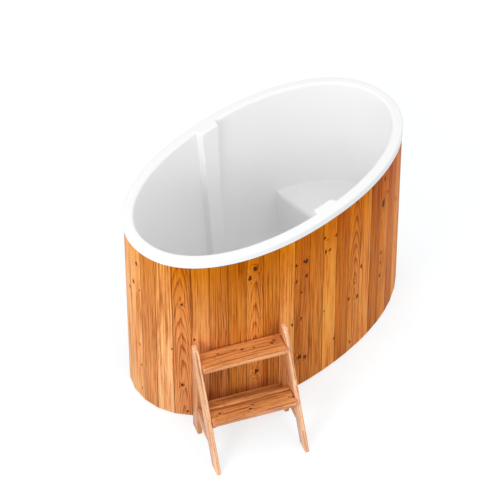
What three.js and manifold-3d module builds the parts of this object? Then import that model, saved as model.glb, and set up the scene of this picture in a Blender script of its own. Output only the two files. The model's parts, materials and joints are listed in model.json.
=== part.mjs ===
// Oval cold plunge tub: a moulded liner in a skin of upright boards, with a bottom drain and
// a free-standing pair of steps. Millimetres, +Z up. The tub stands on the floor z = 0 with its
// centre over the origin, its long axis along X, its seat at the +X end and its drain valve at +Y.

import * as THREE from 'three';
import { ConvexGeometry } from 'three/addons/geometries/ConvexGeometry.js';
import { mergeVertices } from 'three/addons/utils/BufferGeometryUtils.js';
import Module from 'manifold-3d';

const wasm = await Module();
wasm.setup();

// Fits
const FIT = 0.3;                  // gap between pieces that touch
const TURNING_FIT = 0.4;          // gap round the valve's ball and stem

// Oval and cladding
const TUB_LENGTH = 1636;          // over the boards
const TUB_WIDTH = 922;            // over the boards
const OVAL_POWER = 2.13;          // 2 is an ellipse, more is squarer
const CLADDING_TOP = 1000;
const CLADDING_BOTTOM = 6;
const BOARD_COUNT = 46;
const BOARD_THICKNESS = 20;
const BOARD_CHAMFER = 2;
const FIRST_SEAM = -17;           // along the boards, from the -X end towards -Y
const TONGUE_LENGTH = 5;
const TONGUE_THICKNESS = 5;

// Liner
const RIM_HEIGHT = 40;            // above the boards
const RIM_WIDTH = 52;
const RIM_OVERHANG = 3;           // past the boards
const RIM_ROUND = 12;
const MOUTH_ROUND = 8;
const LINER_WALL = 6;
const WALL_DRAFT = 4;             // degrees, the well narrows downwards
const FLOOR_FILLET = 70;
const SEAT_TOP = 420;             // above the floor the tub stands on
const SEAT_DEPTH = 428;           // from its front to the boards' face at the +X end
const SEAT_BULGE = 4000;          // radius of the seat's front edge in plan
const SEAT_ROUND = 45;
const RIB_CENTRE = 8;
const RIB_DEPTH = 30;
const RIB_BASE = 152;             // width at the wall, at the rim
const RIB_FACE = 90;              // width of the flat face, at the rim
const RIB_TAPER = 30;             // narrower at the bottom by this

// Base, hoops and insulation
const BEARER_HEIGHT = 70;
const BEARER_WIDTH = 45;
const BEARER_SPACING = 520;
const BEARER_INSET = 12;
const BASE_PANEL = 15;
const FLOOR_FOAM = 25;
const JACKET = 20;
const UPPER_HOOP_DROP = 60;       // below the boards' top
const LOWER_HOOP_HEIGHT = 45;
const LOWER_HOOP_WIDTH = 40;
const PROP_THICKNESS = 18;
const PROP_DISTANCE = 90;         // from the seat's front to the first prop
const PROP_SPACING = 130;
const PROP_SIDE_GAP = 40;

// Drain
const DRAIN_X = -256;
const DRAIN_Y = 90;
const PIPE_AXIS = 36;             // above the floor
const PIPE_DIAMETER = 40;
const PIPE_WALL = 3;
const PIPE_GRIP = 20;             // length of pipe in each socket
const SOCKET_WALL = 5;
const TAIL_DIAMETER = 48;
const TAIL_WALL = 4;
const TAIL_GRIP = 12;
const DRAIN_FLANGE = 80;
const DRAIN_LEDGE = 2;            // flange under the strainer
const DRAIN_CHAMFER = 2;
const STRAINER_DIAMETER = 64;
const STRAINER_THICKNESS = 2;
const STRAINER_HOLES = 8;
const STRAINER_HOLE = 8;
const STRAINER_MARGIN = 2;        // from the holes to the bore's edge
const SEAL_THICKNESS = 3;
const SEAL_WIDTH = 9;
const DRAIN_ROOM = 4;             // round the fittings, in the base and the foam
const BACK_NUT = 72;              // across the corners
const BACK_NUT_HEIGHT = 14;

// Valve
const VALVE_STANDOFF = 14;        // inlet face to the boards
const VALVE_INLET = 48;           // inlet face to the ball's centre
const VALVE_OUTLET = 40;          // ball's centre to the outlet face
const VALVE_BARREL = 60;
const VALVE_HEX = 56;             // across the corners
const VALVE_HEX_LENGTH = 24;
const BALL_DIAMETER = 46;
const BALL_BORE = 30;
const BALL_SEAT = 32;             // bore behind the ball on both sides
const STEM_DIAMETER = 12;
const STEM_TONGUE = 5;
const STEM_END = 4;               // past the lever's nut
const BOSS_DIAMETER = 26;
const BOSS_HEIGHT = 12;           // above the barrel
const LEVER_LENGTH = 100;
const LEVER_WIDTH = 18;
const LEVER_THICKNESS = 6;
const LEVER_HUB = 28;
const LEVER_NUT = 21;             // across the corners
const LEVER_NUT_HEIGHT = 8;
const TAIL_FLANGE = 8;
const HOSE_TAIL_LENGTH = 46;
const HOSE_TAIL_DIAMETER = 38;
const HOSE_BARB = 2;
const HOSE_BARBS = 3;

// Steps
const STEPS_BEARING = 244.6;      // degrees, direction from the tub's wall to the steps
const STEPS_CLEARANCE = 4;        // treads to the boards
const STEPS_WIDTH = 474;
const STEPS_DEPTH = 374;          // front feet to the upper tread's back edge
const STEPS_TOP = 545;
const STEPS_BOARD = 23;
const STRINGER_SLOPE = 59.25;     // degrees from the floor
const STRINGER_FOOT = 79;
const STRINGER_ROUND = 45;
const LEG_DEPTH = 78;
const LEG_SETBACK = 6;            // behind the upper tread's back edge
const SIDE_RAIL_BOTTOM = 105;
const SIDE_RAIL_HEIGHT = 80;
const BACK_RAIL_BOTTOM = 90;
const BACK_RAIL_HEIGHT = 70;
const BACK_RAIL_SETBACK = 20;     // from the legs' back edge
const TREAD_THICKNESS = 28;
const UPPER_TREAD_TOP = 475;
const LOWER_TREAD_TOP = 245;
const NOSE_OVERHANG = 31;
const LOWER_TREAD_BOARD = 99;
const LOWER_TREAD_SLAT = 35;
const TREAD_GAP = 5;
const CLEAT_WIDTH = 24;
const CLEAT_HEIGHT = 30;
const CLEAT_SETBACK = 8;

// How finely the curves are cut
const ROUND_STEPS = 4;
const PIPE_SIDES = 24;
const PAST = 20;                  // how far a cutting tool runs past what it cuts

// Heights and offsets that follow from the sizes above. An offset is measured from the boards'
// outer face, outwards.
const RADIANS = Math.PI / 180;
const seatFront = TUB_LENGTH / 2 - SEAT_DEPTH;
const rimTop = CLADDING_TOP + RIM_HEIGHT;
const panelTop = BEARER_HEIGHT + FIT + BASE_PANEL;
const foamTop = panelTop + FIT + FLOOR_FOAM;
const floorTop = foamTop + FIT + LINER_WALL;
const lowerHoopTop = panelTop + FIT + LOWER_HOOP_HEIGHT;
const upperHoopBottom = CLADDING_TOP - UPPER_HOOP_DROP;
const boardsInside = -BOARD_THICKNESS - FIT;
const draftSine = Math.sin(WALL_DRAFT * RADIANS);
const draftCosine = Math.cos(WALL_DRAFT * RADIANS);
const wellOffset = (z) => RIM_OVERHANG - RIM_WIDTH - (rimTop - z) * draftSine / draftCosine;
const wallOffset = (z, thickness) => wellOffset(z) + thickness / draftCosine;

// Materials
const finish = (color, roughness, metalness = 0) =>
  new THREE.MeshStandardMaterial({ color, roughness, metalness, flatShading: true });
const WHITE_LAMINATE = finish('#f4f5f5', 0.3);
const CLADDING_WOOD = finish('#c8763b', 0.6);
const STEP_WOOD = finish('#d48a55', 0.55);
const PLYWOOD = finish('#c9a777', 0.75);
const FOAM = finish('#e6d9a4', 0.9);
const GREY_PLASTIC = finish('#7d8388', 0.45);
const BLACK_RUBBER = finish('#1c1c1c', 0.85);
const STEEL = finish('#c2c6c9', 0.3, 0.9);
const RED_PLASTIC = finish('#a8281f', 0.4);

// Closed, merged and outward-facing copy of a geometry
function closed(geometry) {
  const bare = geometry.index ? geometry.toNonIndexed() : geometry.clone();
  for (const name of Object.keys(bare.attributes)) {
    if (name !== 'position') bare.deleteAttribute(name);
  }
  const merged = mergeVertices(bare, 1e-3);
  const corners = merged.index.array;
  const kept = [];
  for (let i = 0; i < corners.length; i += 3) {
    const [a, b, c] = corners.slice(i, i + 3);
    if (a !== b && b !== c && c !== a) kept.push(a, b, c);
  }
  if (signedVolume(merged, kept) < 0) kept.reverse();
  merged.setIndex(kept);
  return merged;
}

function signedVolume(geometry, corners) {
  const place = geometry.attributes.position;
  const [a, b, c] = [new THREE.Vector3(), new THREE.Vector3(), new THREE.Vector3()];
  let volume = 0;
  for (let i = 0; i < corners.length; i += 3) {
    a.fromBufferAttribute(place, corners[i]);
    b.fromBufferAttribute(place, corners[i + 1]);
    c.fromBufferAttribute(place, corners[i + 2]);
    volume += a.dot(b.cross(c));
  }
  return volume;
}

function solidOf(geometry) {
  const mesh = closed(geometry);
  return new wasm.Manifold(new wasm.Mesh({
    numProp: 3,
    vertProperties: new Float32Array(mesh.attributes.position.array),
    triVerts: new Uint32Array(mesh.index.array),
  }));
}

function geometryOf(solid) {
  const mesh = solid.getMesh();
  const geometry = new THREE.BufferGeometry();
  geometry.setAttribute('position', new THREE.BufferAttribute(new Float32Array(mesh.vertProperties), 3));
  geometry.setIndex(new THREE.BufferAttribute(new Uint32Array(mesh.triVerts), 1));
  return geometry;
}

const cut = (blank, ...tools) =>
  geometryOf(tools.reduce((solid, tool) => solid.subtract(solidOf(tool)), solidOf(blank)));
const join = (first, ...others) =>
  geometryOf(others.reduce((solid, other) => solid.add(solidOf(other)), solidOf(first)));

function piece(name, geometry, material) {
  const mesh = new THREE.Mesh(closed(geometry), material);
  mesh.name = name;
  return mesh;
}

// The oval: a point by its polar angle, its outward normal, and its length along the boards
const halfLength = TUB_LENGTH / 2;
const halfWidth = TUB_WIDTH / 2;

function ovalPoint(angle) {
  const across = Math.abs(Math.cos(angle) / halfLength) ** OVAL_POWER;
  const along = Math.abs(Math.sin(angle) / halfWidth) ** OVAL_POWER;
  const reach = (across + along) ** (-1 / OVAL_POWER);
  return new THREE.Vector2(reach * Math.cos(angle), reach * Math.sin(angle));
}

function ovalNormal(point) {
  const slope = (value, half) => Math.sign(value) * Math.abs(value / half) ** (OVAL_POWER - 1) / half;
  return new THREE.Vector2(slope(point.x, halfLength), slope(point.y, halfWidth)).normalize();
}

const ARC_STEPS = 3600;
const arcAngle = (step) => Math.PI + step * 2 * Math.PI / ARC_STEPS;
const arcLengths = [0];
for (let step = 1; step <= ARC_STEPS; step += 1) {
  const chord = ovalPoint(arcAngle(step)).distanceTo(ovalPoint(arcAngle(step - 1)));
  arcLengths.push(arcLengths[step - 1] + chord);
}
const perimeter = arcLengths[ARC_STEPS];

// Place on the oval at a length along the boards from the -X end: point, outward and along
function ovalAt(length) {
  const wrapped = ((length % perimeter) + perimeter) % perimeter;
  let step = 1;
  while (step < ARC_STEPS && arcLengths[step] < wrapped) step += 1;
  const share = (wrapped - arcLengths[step - 1]) / (arcLengths[step] - arcLengths[step - 1]);
  const point = ovalPoint(arcAngle(step - 1 + share));
  const out = ovalNormal(point);
  return { point, out, along: new THREE.Vector2(-out.y, out.x) };
}

const boardPitch = perimeter / BOARD_COUNT;
const seamAt = (index) => ovalAt(FIRST_SEAM + index * boardPitch);
const ovalStations = Array.from({ length: 2 * BOARD_COUNT }, (_, i) => seamAt(i / 2));

// Half the inside width of an offset oval at a given x
function halfSpan(x, offset) {
  let span = 0;
  for (let step = 0; step < ARC_STEPS; step += 1) {
    const point = ovalPoint(arcAngle(step));
    const place = point.clone().addScaledVector(ovalNormal(point), offset);
    if (Math.abs(place.x - x) < halfLength * 2 * Math.PI / ARC_STEPS) span = Math.max(span, place.y);
  }
  return span;
}

// A station's place at an offset. The boards are flat, so on a face that meets them the station
// in the middle of a board lies on the straight line between its two seams.
function ovalPlace(station, offset, onBoards) {
  const count = ovalStations.length;
  if (onBoards && station % 2 === 1) {
    const before = ovalPlace(station - 1, offset, true);
    return before.add(ovalPlace((station + 1) % count, offset, true)).multiplyScalar(1 / 2);
  }
  const { point, out } = ovalStations[station];
  return point.clone().addScaledVector(out, offset);
}

// A ring or a plug round the oval from a section of [offset, z, onBoards] places. A closed section
// makes a ring, an open one is capped at its first and last place.
function ovalLoft(section, ring) {
  const count = ovalStations.length;
  const positions = [];
  for (const [offset, z, onBoards] of section) {
    for (let station = 0; station < count; station += 1) {
      const place = ovalPlace(station, offset, onBoards);
      positions.push(place.x, place.y, z);
    }
  }
  const corners = [];
  const rows = ring ? section.length : section.length - 1;
  for (let row = 0; row < rows; row += 1) {
    const next = (row + 1) % section.length;
    for (let i = 0; i < count; i += 1) {
      const j = (i + 1) % count;
      const [a, b, c, d] = [row * count + i, row * count + j, next * count + j, next * count + i];
      corners.push(a, b, c, a, c, d);
    }
  }
  if (!ring) {
    const bottom = positions.length / 3;
    const last = (section.length - 1) * count;
    positions.push(0, 0, section[0][1], 0, 0, section[section.length - 1][1]);
    for (let i = 0; i < count; i += 1) {
      const j = (i + 1) % count;
      corners.push(bottom, j, i, bottom + 1, last + i, last + j);
    }
  }
  const geometry = new THREE.BufferGeometry();
  geometry.setAttribute('position', new THREE.Float32BufferAttribute(positions, 3));
  geometry.setIndex(corners);
  return geometry;
}

const ovalPlug = (section) => ovalLoft(section, false);
const ovalRing = (section) => ovalLoft(section, true);

// Places on an arc of a section, from one angle to another in degrees
function arcPlaces(centreOffset, centreZ, radius, from, to, steps = ROUND_STEPS) {
  return Array.from({ length: steps + 1 }, (_, i) => {
    const angle = (from + (to - from) * i / steps) * RADIANS;
    return [centreOffset + radius * Math.cos(angle), centreZ + radius * Math.sin(angle)];
  });
}

// Solids of revolution: r and height pairs round the Y axis, and the same stood up along Z
function turnedY(profile, sides = PIPE_SIDES) {
  const points = profile.map(([radius, height]) => new THREE.Vector2(radius, height));
  return closed(new THREE.LatheGeometry(points, sides));
}
const turnedZ = (profile, sides) => turnedY(profile, sides).rotateX(Math.PI / 2);
const rodProfile = (diameter, from, to) =>
  [[0, from], [diameter / 2, from], [diameter / 2, to], [0, to]];
const tubeProfile = (outer, inner, from, to) =>
  [[inner / 2, from], [outer / 2, from], [outer / 2, to], [inner / 2, to], [inner / 2, from]];

// A flat outline pushed up along Z, or a side view pushed across along X
function upright(points, bottom, top) {
  const shape = new THREE.Shape(points.map(([x, y]) => new THREE.Vector2(x, y)));
  return new THREE.ExtrudeGeometry(shape, { depth: top - bottom, bevelEnabled: false, steps: 1 })
    .translate(0, 0, bottom);
}
const ACROSS = new THREE.Matrix4().makeBasis(
  new THREE.Vector3(0, 1, 0), new THREE.Vector3(0, 0, 1), new THREE.Vector3(1, 0, 0));
const sideways = (points, from, to) => upright(points, from, to).applyMatrix4(ACROSS);

// Liner

function seatBlock(inset) {
  const centre = seatFront + inset + SEAT_BULGE;
  const reach = Math.asin(Math.min(1, (halfWidth + PAST) / SEAT_BULGE));
  const round = SEAT_ROUND - inset;
  const bottom = -PAST - round;
  const shape = new THREE.Shape();
  shape.absarc(centre, 0, SEAT_BULGE, Math.PI - reach, Math.PI + reach, false);
  shape.lineTo(halfLength + PAST, -halfWidth - PAST);
  shape.lineTo(halfLength + PAST, halfWidth + PAST);
  return new THREE.ExtrudeGeometry(shape, {
    depth: SEAT_TOP - inset - round - bottom,
    curveSegments: 2 * ROUND_STEPS,
    bevelThickness: round,
    bevelSize: round,
    bevelOffset: -round,
    bevelSegments: ROUND_STEPS,
  }).translate(0, 0, bottom);
}

// An upright rib on a long wall, its flanks running on into the wall
function rib(side) {
  const flank = (RIB_BASE - RIB_FACE) / 2 / RIB_DEPTH;
  const corners = [];
  for (const [z, taper] of [[rimTop + 2 * PAST, 0], [floorTop - PAST, RIB_TAPER]]) {
    const wall = halfWidth + wellOffset(z);
    for (const end of [-1, 1]) {
      const face = (RIB_FACE - taper) / 2;
      const root = face + flank * (RIB_DEPTH + PAST);
      corners.push(new THREE.Vector3(RIB_CENTRE + end * face, side * (wall - RIB_DEPTH), z));
      corners.push(new THREE.Vector3(RIB_CENTRE + end * root, side * (wall + PAST), z));
    }
  }
  return new ConvexGeometry(corners);
}

function wellGeometry() {
  const filletTouch = floorTop + FLOOR_FILLET * (1 - draftSine);
  const filletCentre = wellOffset(filletTouch) - FLOOR_FILLET * draftCosine;
  const mouthTouch = rimTop - MOUTH_ROUND * (1 - draftSine);
  const mouthCentre = wellOffset(mouthTouch) + MOUTH_ROUND * draftCosine;
  return ovalPlug([
    ...arcPlaces(filletCentre, floorTop + FLOOR_FILLET, FLOOR_FILLET, -90, -WALL_DRAFT),
    ...arcPlaces(mouthCentre, rimTop - MOUTH_ROUND, MOUTH_ROUND, 180 - WALL_DRAFT, 90),
    [mouthCentre, rimTop + PAST],
  ]);
}

function linerBlank() {
  const filletTouch = floorTop + FLOOR_FILLET * (1 - draftSine);
  const filletCentre = wellOffset(filletTouch) - FLOOR_FILLET * draftCosine;
  const filletRadius = FLOOR_FILLET + LINER_WALL;
  const rimUnder = rimTop - LINER_WALL;
  const lipBottom = CLADDING_TOP + FIT;
  return ovalPlug([
    ...arcPlaces(filletCentre, floorTop + FLOOR_FILLET, filletRadius, -90, -WALL_DRAFT),
    [wallOffset(rimUnder, LINER_WALL), rimUnder],
    [RIM_OVERHANG - LINER_WALL, rimUnder],
    [RIM_OVERHANG - LINER_WALL, lipBottom],
    [RIM_OVERHANG, lipBottom],
    ...arcPlaces(RIM_OVERHANG - RIM_ROUND, rimTop - RIM_ROUND, RIM_ROUND, 0, 90),
  ]);
}

const drainHole = (diameter, bottom, top) =>
  turnedZ(rodProfile(diameter, bottom, top)).translate(DRAIN_X, DRAIN_Y, 0);

function liner() {
  const well = cut(wellGeometry(), seatBlock(0), rib(-1), rib(1));
  const hole = drainHole(TAIL_DIAMETER + 2 * FIT, 0, floorTop + PAST);
  return piece('liner', cut(linerBlank(), seatBlock(LINER_WALL), well, hole), WHITE_LAMINATE);
}

// Cladding: boards joined two by two, each pair with a groove at its first edge and a tongue at
// its last

function boardPair(first, count) {
  const at = (seam, along, depth) => {
    const place = seam.point.clone().addScaledVector(seam.along, along).addScaledVector(seam.out, -depth);
    return [place.x, place.y];
  };
  const start = seamAt(first);
  const end = seamAt(first + count);
  const gap = FIT / 2;
  const tongueTop = (BOARD_THICKNESS - TONGUE_THICKNESS) / 2;
  const tongueBottom = tongueTop + TONGUE_THICKNESS;
  const grooveDepth = gap + TONGUE_LENGTH + FIT;
  const outline = [
    at(start, gap, BOARD_THICKNESS),
    at(start, gap, tongueBottom + FIT),
    at(start, grooveDepth, tongueBottom + FIT),
    at(start, grooveDepth, tongueTop - FIT),
    at(start, gap, tongueTop - FIT),
    at(start, gap, BOARD_CHAMFER),
    at(start, gap + BOARD_CHAMFER, 0),
  ];
  const inside = [];
  for (let index = 1; index < count; index += 1) {
    const seam = seamAt(first + index);
    outline.push(at(seam, -BOARD_CHAMFER, 0), at(seam, 0, BOARD_CHAMFER), at(seam, BOARD_CHAMFER, 0));
    inside.unshift(at(seam, 0, BOARD_THICKNESS));
  }
  outline.push(
    at(end, -gap - BOARD_CHAMFER, 0),
    at(end, -gap, BOARD_CHAMFER),
    at(end, -gap, tongueTop),
    at(end, TONGUE_LENGTH, tongueTop),
    at(end, TONGUE_LENGTH, tongueBottom),
    at(end, -gap, tongueBottom),
    at(end, -gap, BOARD_THICKNESS),
    ...inside,
  );
  return upright(outline, CLADDING_BOTTOM, CLADDING_TOP);
}

// The pipe's way out through the boards: a slot with a round top, open at the bottom
function pipeSlot() {
  const width = PIPE_DIAMETER + 2 * SOCKET_WALL;
  const outer = halfWidth + PAST;
  const slot = new THREE.BoxGeometry(width, outer, PIPE_AXIS + PAST)
    .translate(DRAIN_X, outer / 2, (PIPE_AXIS - PAST) / 2);
  const arch = turnedY(rodProfile(width, 0, outer)).translate(DRAIN_X, 0, PIPE_AXIS);
  return join(slot, arch);
}

function cladding() {
  const group = new THREE.Group();
  const slot = pipeSlot();
  slot.computeBoundingBox();
  for (let first = 0; first < BOARD_COUNT; first += 2) {
    let boards = boardPair(first, Math.min(2, BOARD_COUNT - first));
    boards.computeBoundingBox();
    if (boards.boundingBox.intersectsBox(slot.boundingBox)) boards = cut(boards, slot);
    const number = String(first / 2 + 1).padStart(2, '0');
    group.add(piece(`board_pair_${number}`, boards, CLADDING_WOOD));
  }
  return group;
}

// Hoops, base and insulation

function upperHoop() {
  const top = rimTop - LINER_WALL - FIT;
  const inner = (z) => wallOffset(z, LINER_WALL + FIT);
  return piece('upper_hoop', ovalRing([
    [inner(upperHoopBottom), upperHoopBottom],
    [boardsInside, upperHoopBottom, true],
    [boardsInside, top, true],
    [inner(top), top],
  ]), PLYWOOD);
}

function lowerHoop() {
  const bottom = panelTop + FIT;
  const inner = boardsInside - LOWER_HOOP_WIDTH;
  return piece('lower_hoop', ovalRing([
    [inner, bottom], [boardsInside, bottom, true], [boardsInside, lowerHoopTop, true], [inner, lowerHoopTop],
  ]), PLYWOOD);
}

function foamJacket() {
  const bottom = lowerHoopTop + FIT;
  const top = upperHoopBottom - FIT;
  const inner = (z) => wallOffset(z, LINER_WALL + FIT);
  const outer = (z) => wallOffset(z, LINER_WALL + FIT + JACKET);
  return piece('foam_jacket', ovalRing([
    [inner(bottom), bottom], [outer(bottom), bottom], [outer(top), top], [inner(top), top],
  ]), FOAM);
}

function floorFoam() {
  const edge = boardsInside - LOWER_HOOP_WIDTH - FIT;
  const slab = ovalPlug([[edge, panelTop + FIT], [edge, foamTop]]);
  return piece('floor_foam', cut(slab, drainHole(BACK_NUT + 2 * DRAIN_ROOM, 0, rimTop)), FOAM);
}

function basePanel() {
  const panel = ovalPlug([[boardsInside, BEARER_HEIGHT + FIT, true], [boardsInside, panelTop, true]]);
  const hole = drainHole(elbowSocket + 2 * DRAIN_ROOM, 0, rimTop);
  return piece('base_panel', cut(panel, hole), PLYWOOD);
}

function bearers() {
  const group = new THREE.Group();
  for (const [name, x] of [['left', -BEARER_SPACING], ['middle', 0], ['right', BEARER_SPACING]]) {
    const length = 2 * (halfSpan(Math.abs(x) + BEARER_WIDTH / 2, boardsInside) - BEARER_INSET);
    const bearer = piece(`bearer_${name}`, new THREE.BoxGeometry(BEARER_WIDTH, length, BEARER_HEIGHT),
      PLYWOOD);
    bearer.position.set(x, 0, BEARER_HEIGHT / 2);
    group.add(bearer);
  }
  return group;
}

function seatProps() {
  const group = new THREE.Group();
  const bottom = foamTop + FIT;
  const top = SEAT_TOP - LINER_WALL - FIT;
  ['seat_prop_front', 'seat_prop_rear'].forEach((name, index) => {
    const x = seatFront + PROP_DISTANCE + index * PROP_SPACING;
    const room = halfSpan(x + PROP_THICKNESS, wallOffset(bottom, LINER_WALL));
    const width = 2 * (room - PROP_SIDE_GAP);
    const prop = piece(name, new THREE.BoxGeometry(PROP_THICKNESS, width, top - bottom), PLYWOOD);
    prop.position.set(x + PROP_THICKNESS / 2, 0, (top + bottom) / 2);
    group.add(prop);
  });
  return group;
}

// Drain, from the strainer down to the pipe

const tailBore = TAIL_DIAMETER - 2 * TAIL_WALL;
const pipeBore = PIPE_DIAMETER - 2 * PIPE_WALL;
const elbowSocket = TAIL_DIAMETER + 2 * FIT + 2 * SOCKET_WALL;
const strainerTop = floorTop + FIT + DRAIN_LEDGE + FIT + STRAINER_THICKNESS;
const sealTop = floorTop - LINER_WALL - FIT;
const nutTop = sealTop - SEAL_THICKNESS - FIT;
const tailBottom = PIPE_AXIS + PIPE_DIAMETER / 2 + SOCKET_WALL;
const elbowReach = TAIL_DIAMETER / 2 + SOCKET_WALL + PIPE_GRIP;
const boardsAtDrain = halfSpan(DRAIN_X, 0);
const inletFace = boardsAtDrain + VALVE_STANDOFF;
const ballCentre = inletFace + VALVE_INLET;

function drainBody() {
  const bottom = floorTop + FIT;
  const ledge = bottom + DRAIN_LEDGE;
  const seat = STRAINER_DIAMETER / 2 + FIT;
  const edge = DRAIN_FLANGE / 2;
  return piece('drain_body', turnedZ([
    [tailBore / 2, tailBottom], [TAIL_DIAMETER / 2, tailBottom], [TAIL_DIAMETER / 2, bottom],
    [edge, bottom], [edge, strainerTop - DRAIN_CHAMFER], [edge - DRAIN_CHAMFER, strainerTop],
    [seat, strainerTop], [seat, ledge], [tailBore / 2, ledge], [tailBore / 2, tailBottom],
  ]), GREY_PLASTIC);
}

function drainStrainer() {
  const disc = turnedZ(rodProfile(STRAINER_DIAMETER, strainerTop - STRAINER_THICKNESS, strainerTop));
  const reach = (tailBore - STRAINER_HOLE) / 2 - STRAINER_MARGIN;
  const holes = Array.from({ length: STRAINER_HOLES }, (_, i) => {
    const angle = i * 2 * Math.PI / STRAINER_HOLES;
    return turnedZ(rodProfile(STRAINER_HOLE, strainerTop - PAST, strainerTop + PAST), PIPE_SIDES / 2)
      .translate(reach * Math.cos(angle), reach * Math.sin(angle), 0);
  });
  return piece('drain_strainer', cut(disc, ...holes), STEEL);
}

function drainSeal() {
  const inner = TAIL_DIAMETER + 2 * FIT;
  return piece('drain_seal',
    turnedZ(tubeProfile(inner + 2 * SEAL_WIDTH, inner, sealTop - SEAL_THICKNESS, sealTop)), BLACK_RUBBER);
}

function drainNut() {
  const bottom = nutTop - BACK_NUT_HEIGHT;
  const block = turnedZ(rodProfile(BACK_NUT, bottom, nutTop), 6);
  const thread = turnedZ(rodProfile(TAIL_DIAMETER + 2 * FIT, bottom - PAST, nutTop + PAST));
  return piece('drain_nut', cut(block, thread), GREY_PLASTIC);
}

function drainElbow() {
  const sleeve = PIPE_DIAMETER + 2 * FIT + 2 * SOCKET_WALL;
  const top = tailBottom + TAIL_GRIP;
  const stop = tailBottom - FIT;
  const shoulder = elbowReach - PIPE_GRIP;
  const body = join(
    turnedZ(rodProfile(elbowSocket, PIPE_AXIS, top)),
    turnedY(rodProfile(sleeve, 0, elbowReach)).translate(0, 0, PIPE_AXIS),
    new THREE.SphereGeometry(sleeve / 2, PIPE_SIDES, PIPE_SIDES / 2).translate(0, 0, PIPE_AXIS));
  return piece('drain_elbow', cut(body,
    turnedZ(rodProfile(tailBore, PIPE_AXIS, top + PAST)),
    turnedZ(rodProfile(TAIL_DIAMETER + 2 * FIT, stop, top + PAST)),
    turnedY(rodProfile(pipeBore, -pipeBore / 2, elbowReach + PAST)).translate(0, 0, PIPE_AXIS),
    turnedY(rodProfile(PIPE_DIAMETER + 2 * FIT, shoulder, elbowReach + PAST)).translate(0, 0, PIPE_AXIS),
  ), GREY_PLASTIC);
}

function drainPipe() {
  const from = elbowReach - PIPE_GRIP + FIT;
  const to = inletFace - DRAIN_Y + PIPE_GRIP - FIT;
  const pipe = piece('drain_pipe', turnedY(tubeProfile(PIPE_DIAMETER, pipeBore, from, to)), GREY_PLASTIC);
  pipe.position.z = PIPE_AXIS;
  return pipe;
}

function drain() {
  const group = new THREE.Group();
  group.add(drainStrainer(), drainBody(), drainSeal(), drainNut(), drainElbow(), drainPipe());
  group.position.set(DRAIN_X, DRAIN_Y, 0);
  return group;
}

// Valve, in a group with its origin at the ball's centre and the pipe along Y

const seatReach = Math.sqrt(BALL_DIAMETER ** 2 - BALL_SEAT ** 2) / 2 + TURNING_FIT;
const chamber = BALL_DIAMETER + 2 * TURNING_FIT;
const bossTop = VALVE_BARREL / 2 + BOSS_HEIGHT;
const leverBottom = bossTop + TURNING_FIT;
const nutBottom = leverBottom + LEVER_THICKNESS + FIT;
const stemTop = nutBottom + LEVER_NUT_HEIGHT + STEM_END;
const tongueDepth = BALL_DIAMETER / 2 - STEM_TONGUE;

function valveBody() {
  const body = join(
    turnedY(rodProfile(VALVE_BARREL, VALVE_HEX_LENGTH - VALVE_INLET, VALVE_OUTLET)),
    turnedY(rodProfile(VALVE_HEX, -VALVE_INLET, 0), 6),
    turnedZ(rodProfile(BOSS_DIAMETER, 0, bossTop)));
  return piece('valve_body', cut(body,
    turnedY(rodProfile(PIPE_DIAMETER + 2 * FIT, -VALVE_INLET - PAST, PIPE_GRIP - VALVE_INLET)),
    turnedY(rodProfile(BALL_SEAT, -VALVE_INLET, 0)),
    turnedY(rodProfile(chamber, -seatReach, VALVE_OUTLET + PAST)),
    turnedZ(rodProfile(STEM_DIAMETER + 2 * TURNING_FIT, 0, bossTop + PAST)),
  ), GREY_PLASTIC);
}

function valveBall() {
  const ball = new THREE.SphereGeometry(BALL_DIAMETER / 2, PIPE_SIDES, PIPE_SIDES / 2);
  const bore = turnedY(rodProfile(BALL_BORE, -BALL_DIAMETER, BALL_DIAMETER), PIPE_SIDES).rotateZ(Math.PI / 2);
  const slot = new THREE.BoxGeometry(BALL_DIAMETER, STEM_TONGUE + 2 * FIT, 2 * STEM_TONGUE)
    .translate(0, 0, tongueDepth - FIT + STEM_TONGUE);
  return piece('valve_ball', cut(ball, bore, slot), STEEL);
}

function valveStem() {
  const shaft = turnedZ(rodProfile(STEM_DIAMETER, BALL_DIAMETER / 2 + FIT, stemTop));
  const tongue = new THREE.BoxGeometry(STEM_DIAMETER - 2 * FIT, STEM_TONGUE, 2 * STEM_TONGUE)
    .translate(0, 0, tongueDepth + STEM_TONGUE);
  return piece('valve_stem', join(shaft, tongue), STEEL);
}

function valveLever() {
  const end = LEVER_LENGTH - LEVER_WIDTH / 2;
  const hub = turnedZ(rodProfile(LEVER_HUB, leverBottom, leverBottom + LEVER_THICKNESS));
  const shape = new THREE.Shape();
  shape.moveTo(0, -LEVER_WIDTH / 2);
  shape.absarc(end, 0, LEVER_WIDTH / 2, -Math.PI / 2, Math.PI / 2, false);
  shape.lineTo(0, LEVER_WIDTH / 2);
  const bar = new THREE.ExtrudeGeometry(shape, {
    depth: LEVER_THICKNESS, bevelEnabled: false, curveSegments: 2 * ROUND_STEPS,
  }).translate(0, 0, leverBottom);
  const hole = turnedZ(rodProfile(STEM_DIAMETER + 2 * FIT, 0, stemTop + PAST));
  return piece('valve_lever', cut(join(hub, bar), hole), RED_PLASTIC);
}

function leverNut() {
  const block = turnedZ(rodProfile(LEVER_NUT, nutBottom, nutBottom + LEVER_NUT_HEIGHT), 6);
  const thread = turnedZ(rodProfile(STEM_DIAMETER + 2 * FIT, 0, stemTop + PAST));
  return piece('lever_nut', cut(block, thread), STEEL);
}

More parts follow.
